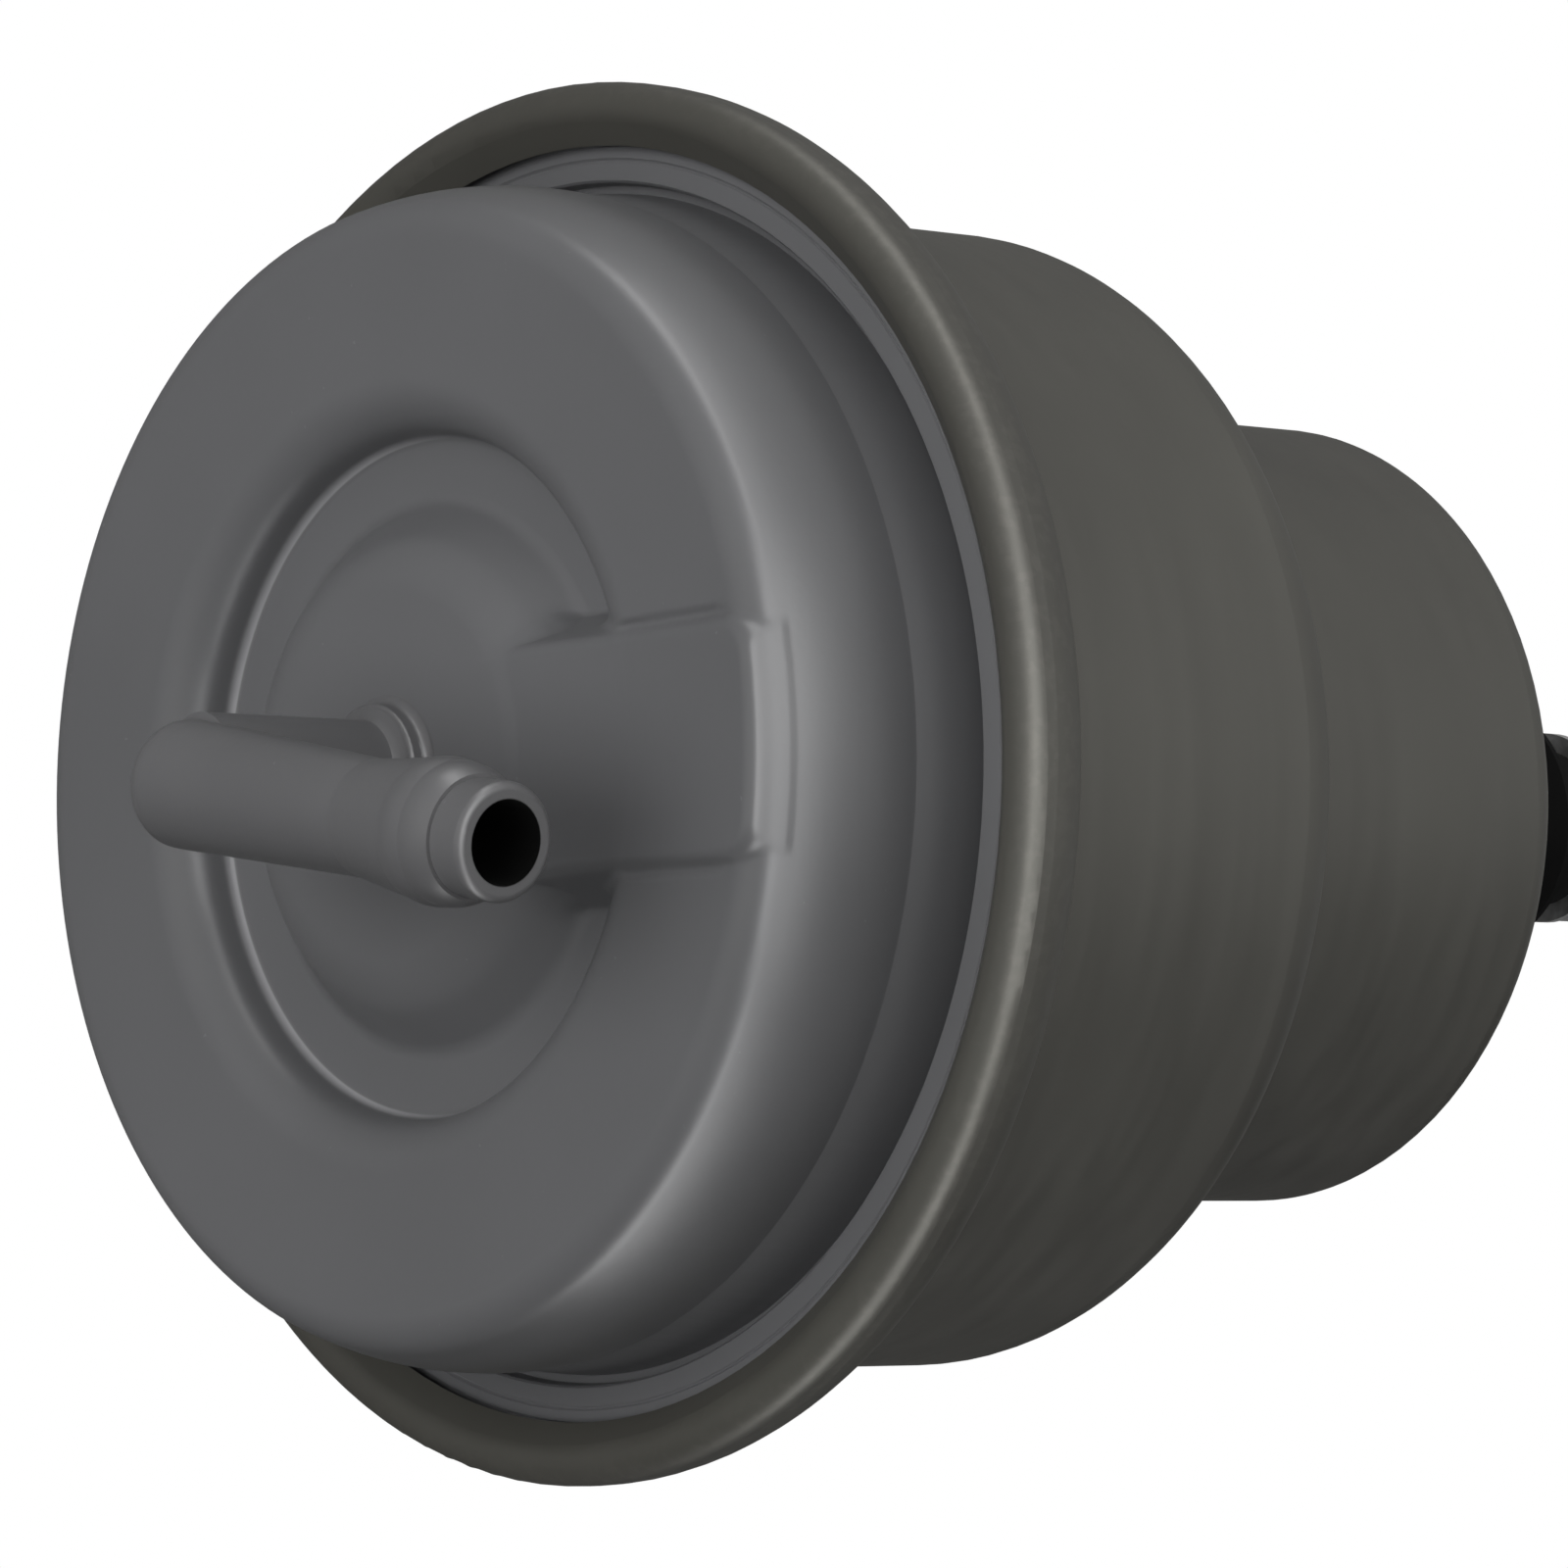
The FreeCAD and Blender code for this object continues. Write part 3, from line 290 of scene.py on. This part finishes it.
rubberValues = {
    "dark": (0.002, 0.002, 0.002), "bloom": (0.004, 0.004, 0.004), "shine": 0.06,
    "cloudScale": 90.0, "bloomFrom": 0.4, "bloomTo": 0.7,
    "roughLow": 0.45, "roughHigh": 0.6, "grainScale": 2500.0, "bumpStrength": 0.15, "bumpDepth": 0.00005,
}
insulatorValues = {
    "dark": (0.05, 0.028, 0.016), "bloom": (0.075, 0.045, 0.028), "shine": 0.5,
    "cloudScale": 120.0, "bloomFrom": 0.4, "bloomTo": 0.7,
    "roughLow": 0.5, "roughHigh": 0.65, "grainScale": 1800.0, "bumpStrength": 0.2, "bumpDepth": 0.00006,
}
zincValues = {
    "dark": (0.58, 0.59, 0.59), "light": (0.68, 0.68, 0.67), "cloudScale": 160.0,
    "along": 1500.0, "around": 8.0, "out": 1500.0,
    "roughLow": 0.28, "roughHigh": 0.42, "bumpStrength": 0.12, "bumpDepth": 0.00004,
}
threadValues = {**zincValues, "pitch": 0.8, "ringShare": 0.1, "bumpStrength": 0.9, "bumpDepth": 0.00016}
steelValues = {
    "dark": (0.40, 0.40, 0.41), "light": (0.50, 0.50, 0.50), "cloudScale": 130.0,
    "along": 1800.0, "around": 7.0, "out": 1800.0,
    "roughLow": 0.22, "roughHigh": 0.36, "bumpStrength": 0.12, "bumpDepth": 0.00004,
}
bronzeValues = {
    "dark": (0.36, 0.22, 0.11), "light": (0.46, 0.28, 0.14), "cloudScale": 300.0,
    "along": 1500.0, "around": 7.0, "out": 1500.0,
    "roughLow": 0.35, "roughHigh": 0.5, "bumpStrength": 0.1, "bumpDepth": 0.00004,
}

looks = (
    (mouldedPlastic("coverLook", coverValues), ("cover",)),
    (mouldedPlastic("nozzleLook", nozzleValues), ("hose_elbow",)),
    (coatedSteel("canLook", canValues), ("can", "wiper_cap")),
    (softRubber("rubberLook", rubberValues), ("rod_boot", "diaphragm", "rod_wiper", "bump_ring")),
    (softRubber("insulatorLook", insulatorValues), ("spring_seat",)),
    (turnedMetal("zincLook", zincValues), ("jam_nut", "stop_washer", "rod_end")),
    (turnedMetal("threadLook", threadValues), ("mounting_studs",)),
    (turnedMetal("steelLook", steelValues), ("clamp_plate", "head_washer", "piston", "rod", "main_spring",
                                             "stud_plate", "bush_cup", "boot_clip", "eye_bush")),
    (turnedMetal("bronzeLook", bronzeValues), ("rod_bush",)),
)
for look, names in looks:
    for name in names:
        mesh = nodes[name].data
        mesh.materials.clear()
        mesh.materials.append(look)
print("stage: materials")

# New cover: the CAD cover's form with the moulding's soft edges, worked out point by point

coverShape = {
    "turnSteps": 150, "ribSteps": 340, "ribSpan": 34.0,
    "faceRings": ((8.0, 0.5), (12.0, 0.16), (15.6, 0.06), (18.0, 0.15)), "outerRing": 0.5,
    "faceDepth": 54.84, "faceRadius": 23.445, "holeRadius": 2.32,
    "roundRadius": 25.12, "roundDepth": 53.70, "roundArc": 1.8, "roundSteps": 16,
    "bulgeArc": 12.28, "bulgeSteps": 36, "bandRadius": 25.8, "bandDepth": 47.14,
    "footRadius": 26.1, "creaseDepth": 44.04,
    "landStart": (43.5, 26.15),
    "landRows": ((43.5, 26.5), (44.1, 26.6), (44.2, 26.7), (44.0, 27.5), (43.95, 27.55), (43.95, 27.6),
                 (44.05, 27.7), (43.9, 28.2), (43.772, 28.25)),
    "flangeDepth": 43.772, "flangeRadius": 29.6, "flangeBack": 42.9, "wall": 1.6,
    "innerStep": 1.4, "innerRound": 0.4, "innerFace": 0.6,
    "islandDepth": 54.74, "floorDepth": 51.94, "islandFoot": 12.0, "islandSlope": 0.893, "islandEdge": 1.1,
    "moatFoot": 14.85, "moatSlope": 0.155, "moatEdge": 1.9, "footEdge": 0.3,
    "ribTop": 4.85, "ribSlope": 0.507, "ribReach": 25.05, "ribStart": 54.404, "ribSlant": 0.03537,
    "ribShift": -0.15, "ribEdge": 0.4, "ribCorner": 1.2, "ribLow": 53.54, "ribLowFrom": 20.0,
    "ribEndFrom": 23.5, "ribEndFade": 1.2, "ribEndDraft": 0.35, "ribEndDepth": 53.9,
    "ribEndEdge": 0.5, "ribFootEdge": 0.15,
    "grooveHalf": 0.42, "grooveLift": 0.12, "grooveAside": 0.1, "grooveEdge": 0.15,
    "grooveStart": 15.0, "grooveFadeIn": 2.0, "grooveEnd": 24.0, "grooveFadeOut": 1.5,
    "webEdge": 1.0, "webMargin": 0.2, "webTopFade": 1.0, "webFloorFade": 0.8, "webReach": 18.0,
    "webAside": 3.0, "webAsideFade": 2.0,
}
searchValues = {"start": 2.0, "step": 0.7, "rounds": 110}


def arcPoints(start, end, radius, steps):
    # points on the smaller arc from start to end, its centre on the right of the way from start to end
    first = np.array(start)
    last = np.array(end)
    chord = last - first
    half = np.linalg.norm(chord) / 2
    side = np.array((chord[1], -chord[0])) / (2 * half)
    centre = (first + last) / 2 + side * math.sqrt(radius * radius - half * half)
    fromAngle = math.atan2(*(first - centre)[::-1])
    sweep = math.atan2(*(last - centre)[::-1]) - fromAngle
    sweep = (sweep + math.pi) % (2 * math.pi) - math.pi
    angles = fromAngle + sweep * np.linspace(0, 1, steps + 1)
    return [(centre[0] + radius * math.cos(angle), centre[1] + radius * math.sin(angle)) for angle in angles]


def roundMax(first, second, edge):
    corner = np.hypot(np.maximum(edge + first, 0), np.maximum(edge + second, 0))
    return np.minimum(-edge, np.maximum(first, second)) + corner


def roundMin(first, second, edge):
    return -roundMax(-first, -second, edge)


def ramp(value, length):
    return np.clip(value / length, 0, 1)


def coverField(v, base, depth, radius, across, along):
    # distance to the moulding's skin, negative inside it
    overFloor = depth - v["floorDepth"]
    island = (radius - v["islandFoot"] + v["islandSlope"] * overFloor) / math.hypot(1, v["islandSlope"])
    island = roundMax(island, depth - v["islandDepth"], v["islandEdge"])
    outer = (radius - v["moatFoot"] - v["moatSlope"] * overFloor) / math.hypot(1, v["moatSlope"])
    moat = roundMax(outer, -overFloor, v["footEdge"])
    body = roundMax(base, -moat, v["moatEdge"])

    # a faint groove along each side of the rib
    sideways = np.abs(across - v["ribShift"])
    ribTop = v["ribStart"] + v["ribSlant"] * along
    footHalf = v["ribTop"] + v["ribSlope"] * (ribTop - v["faceDepth"]) + v["grooveAside"]
    groove = np.hypot(sideways - footHalf, depth - v["faceDepth"] - v["grooveLift"])
    fadeIn = ramp(radius - v["grooveStart"], v["grooveFadeIn"])
    fadeOut = ramp(v["grooveEnd"] - radius, v["grooveFadeOut"])
    groove = np.maximum(groove - v["grooveHalf"] * fadeIn * fadeOut, -along)
    body = roundMax(body, -groove, v["grooveEdge"])

    # the slanted rib, with a drafted end and a softer edge there
    side = (sideways - v["ribTop"] - v["ribSlope"] * (ribTop - depth)) / math.hypot(1, v["ribSlope"])
    atEnd = ramp(radius - v["ribEndFrom"], v["ribEndFade"])
    end = radius - v["ribReach"] - v["ribEndDraft"] * (v["ribEndDepth"] - depth)
    rib = roundMax(side, end / math.hypot(1, v["ribEndDraft"]), v["ribCorner"])
    rib = roundMax(rib, depth - ribTop, v["ribEdge"] + (v["ribEndEdge"] - v["ribEdge"]) * atEnd)
    rib = np.maximum(rib, -along)
    rib = np.where(radius > v["ribLowFrom"], np.maximum(rib, v["ribLow"] - depth), rib)

    # webs in the corners between island, rib and moat, half way up only
    below = v["faceDepth"] - depth
    middle = ramp(below - v["webMargin"], v["webTopFade"])
    middle = middle * ramp(overFloor - v["webMargin"], v["webFloorFade"]) * (radius < v["webReach"])
    foot = v["footEdge"] + (v["ribFootEdge"] - v["footEdge"]) * atEnd
    web = foot + (v["webEdge"] - foot) * middle
    nearRib = ramp(v["footEdge"] + v["webAside"] - side, v["webAsideFade"]) * (along > 0)
    return roundMin(body, roundMin(island, rib, web), foot + (web - foot) * nearRib)


def coverRows(v):
    # depth and radius of each row of points, and its outward way
    rows = []
    low = v["holeRadius"]
    for high, step in (*v["faceRings"], (v["faceRadius"], v["outerRing"])):
        count = max(1, round((high - low) / step))
        rows += [(v["faceDepth"], low + (high - low) * index / count, 1.0, 0.0) for index in range(count)]
        low = high
    edges = arcPoints((v["faceRadius"], v["faceDepth"]), (v["roundRadius"], v["roundDepth"]),
                      v["roundArc"], v["roundSteps"])[:-1]
    edges += arcPoints((v["roundRadius"], v["roundDepth"]), (v["bandRadius"], v["bandDepth"]),
                       v["bulgeArc"], v["bulgeSteps"])
    edges += [(v["footRadius"], v["creaseDepth"])]
    for index, (radius, depth) in enumerate(edges):
        before = edges[max(index - 1, 0)]
        after = edges[min(index + 1, len(edges) - 1)]
        way = (after[0] - before[0], after[1] - before[1])
        size = math.hypot(*way)
        rows.append((depth, radius, way[0] / size, -way[1] / size))
    return np.array(rows)


def buildCover(values, material):
    v = values
    rows = coverRows(v)
    startDepth, startRadius, wayDepth, wayRadius = [column[:, None] for column in rows.T]
    ribHalf = math.radians(v["ribSpan"])
    turns = np.concatenate((np.linspace(-ribHalf, ribHalf, v["ribSteps"], endpoint=False),
                            np.linspace(ribHalf, 2 * math.pi - ribHalf, v["turnSteps"], endpoint=False)))
    # each point moves along its way until it meets the skin
    lift = np.full((len(rows), len(turns)), searchValues["start"])
    for _ in range(searchValues["rounds"]):
        radius = startRadius + wayRadius * lift
        field = coverField(v, lift, startDepth + wayDepth * lift, radius,
                           radius * np.sin(turns)[None, :], radius * np.cos(turns)[None, :])
        lift = lift - searchValues["step"] * field
    depth = startDepth + wayDepth * lift
    radius = startRadius + wayRadius * lift

    # plain turned rows from the land out to the flange and back inside
    plain = [v["landStart"], *v["landRows"],
             (v["flangeDepth"], v["flangeRadius"]), (v["flangeBack"], v["flangeRadius"]),
             (v["flangeBack"], v["footRadius"] - v["wall"]), (v["bandDepth"], v["bandRadius"] - v["wall"]),
             (v["faceDepth"] - v["wall"] - v["innerStep"], v["roundRadius"] - v["wall"] - v["innerRound"]),
             (v["faceDepth"] - v["wall"], v["faceRadius"] - v["wall"] - v["innerFace"])]
    depths = [*depth, *([place[0]] * len(turns) for place in plain)]
    radii = [*radius, *([place[1]] * len(turns) for place in plain)]
    shape = bmesh.new()
    grid = [[shape.verts.new((-deep * millimetre, -far * math.cos(turn) * millimetre,
                              far * math.sin(turn) * millimetre))
             for deep, far, turn in zip(depthRow, radiusRow, turns)]
            for depthRow, radiusRow in zip(depths, radii)]
    for row in range(len(grid) - 1):
        # the side's foot, the land and the flange have sharp edges
        smooth = row < len(rows) - 2
        for turn in range(len(turns)):
            after = (turn + 1) % len(turns)
            face = shape.faces.new((grid[row][turn], grid[row][after],
                                    grid[row + 1][after], grid[row + 1][turn]))
            face.smooth = smooth
    bmesh.ops.recalc_face_normals(shape, faces=shape.faces)
    piece = makePiece("moulded_cover", shape, material)
    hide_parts("cover")
    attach(piece, "capsule")


buildCover(coverShape, bpy.data.materials["coverLook"])
print("stage: cover")

# Spring, boot and diaphragm copied from the CAD meshes as new pieces, the diaphragm cut at its fold

# fixed and moving place along X of the spring and boot, and the X of the diaphragm's bead, fold and crown;
# buildStretching does not read the fixed and moving places
stretchValues = {"spring": (-5.0, -46.8), "boot": (0.8, 16.5),
                 "bead": -41.9, "fold": -34.55, "crown": -47.7, "foldBand": 0.02}


def buildStretching(name, node, look, fixedX, movingX, side=0):
    # side 1 or -1 keeps what is outside or inside the diaphragm's fold
    shape = bmesh.new()
    shape.from_mesh(nodes[node].data)
    if side:
        tip = max(vert.co.x for vert in shape.verts) - stretchValues["foldBand"] * millimetre
        fold = [vert.co.yz.length for vert in shape.verts if vert.co.x > tip]
        middle = sum(fold) / len(fold)
        away = [face for face in shape.faces
                if side * (face.calc_center_median().yz.length - middle) < 0]
        bmesh.ops.delete(shape, geom=away, context="FACES")
    piece = makePiece(name, shape, bpy.data.materials[look])
    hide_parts(node)
    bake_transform(piece)


bead, fold, crown = [stretchValues[key] for key in ("bead", "fold", "crown")]
buildStretching("coil_spring", "main_spring", "steelLook", *stretchValues["spring"])
buildStretching("ribbed_boot", "rod_boot", "rubberLook", *stretchValues["boot"])
# the diaphragm is cut at its fold into two pieces
buildStretching("diaphragm_bead", "diaphragm", "rubberLook", bead, 2 * fold - bead, 1)
buildStretching("diaphragm_crown", "diaphragm", "rubberLook", 2 * fold - crown, crown, -1)
print("stage: stretching pieces")

# Floor, light and camera

stageValues = {
    "floorSize": 8.0, "floorHeight": -1.0, "floorGrey": (0.15, 0.15, 0.15, 1.0), "floorRough": 0.9,
    "skyNear": 0.62, "skyFar": 0.12, "skyLean": 0.15, "skyEdge": 0.9, "aim": (-0.03, 0.0, 0.0),
}
# place, width, height and power of each light
stripValues = {
    "sideStrip": ((-0.10, -0.80, 0.0), 0.38, 1.30, 6.0),
    "lowStrip": ((-0.08, -0.25, -0.80), 0.30, 1.00, 5.8),
    "nearStrip": ((-0.40, -0.72, 0.0), 0.22, 1.00, 4.2),
    "highStrip": ((-0.08, -0.30, 0.80), 0.30, 1.00, 4.2),
}
frontValues = ((-0.88, -0.18, 0.05), 0.8, 0.8, 6.2)
sideValues = ((0.10, -0.90, 0.25), 0.5, 0.5, 0.9)
cameraValues = {
    "place": (-0.25893, -0.25754, -0.01803), "forward": (0.66062, 0.74880, 0.05358),
    "turn": 1.75, "lens": 174.18, "sensor": 36.0, "near": 0.01, "far": 20.0,
}


def buildFloor(values):
    shape = bmesh.new()
    bmesh.ops.create_grid(shape, x_segments=1, y_segments=1, size=values["floorSize"] / 2)
    bmesh.ops.translate(shape, verts=shape.verts, vec=(0, 0, values["floorHeight"]))
    # the camera sees plain white, while the light bounces from a pale surface
    material, tree, shader = newMaterial("floorLook")
    shader.inputs["Base Color"].default_value = values["floorGrey"]
    shader.inputs["Roughness"].default_value = values["floorRough"]
    glow = addNode(tree, "ShaderNodeEmission")
    glow.inputs["Strength"].default_value = 1.0
    showToCamera(tree, "Material Output", shader, glow)
    makePiece("floor", shape, material)


def buildRoom(values):
    # the room is bright on the nozzle's side and dim on the far side
    world = bpy.data.worlds.new("softRoom")
    bpy.context.scene.world = world
    world.use_nodes = True
    tree = world.node_tree
    split = addNode(tree, "ShaderNodeSeparateXYZ")
    tree.links.new(addNode(tree, "ShaderNodeTexCoord").outputs["Generated"], split.inputs[0])
    lean = mathNode(tree, "MULTIPLY", split.outputs[2], values["skyLean"])
    lean = mathNode(tree, "SUBTRACT", lean, split.outputs[1])
    edge = values["skyEdge"]
    grey = mapRange(tree, lean, -edge, edge, values["skyFar"], values["skyNear"], True)
    tree.links.new(grey, tree.nodes["Background"].inputs["Color"])
    white = addNode(tree, "ShaderNodeBackground")
    white.inputs["Color"].default_value = (1.0, 1.0, 1.0, 1.0)
    showToCamera(tree, "World Output", tree.nodes["Background"], white)


def areaLight(name, place, width, height, power):
    light = bpy.data.lights.new(name, "AREA")
    light.shape = "RECTANGLE"
    light.size = width
    light.size_y = height
    light.energy = power
    item = bpy.data.objects.new(name, light)
    bpy.context.scene.collection.objects.link(item)
    item.location = place
    way = Vector(stageValues["aim"]) - Vector(place)
    item.rotation_euler = way.to_track_quat("-Z", "Y").to_euler()
    return item


def placeCamera(values):
    camera = bpy.data.objects.new("photoCamera", bpy.data.cameras.new("photoCamera"))
    bpy.context.scene.collection.objects.link(camera)
    camera.data.sensor_width = values["sensor"]
    camera.data.lens = values["lens"]
    camera.data.clip_start = values["near"]
    camera.data.clip_end = values["far"]
    facing = Vector(values["forward"]).to_track_quat("-Z", "Y").to_matrix().to_4x4()
    standing = Matrix.Translation(Vector(values["place"])) @ facing
    camera.matrix_world = Matrix.Rotation(math.radians(values["turn"]), 4, "X") @ standing
    bpy.context.scene.camera = camera


buildFloor(stageValues)
buildRoom(stageValues)
# strips round the capsule give the long highlights; the light from the front is soft and leaves none
for name, light in stripValues.items():
    areaLight(name, *light).visible_diffuse = False
areaLight("frontLight", *frontValues).visible_glossy = False
areaLight("sideLight", *sideValues)
placeCamera(cameraValues)
bpy.context.scene.view_settings.view_transform = "Standard"
print("stage: floor, light and camera")
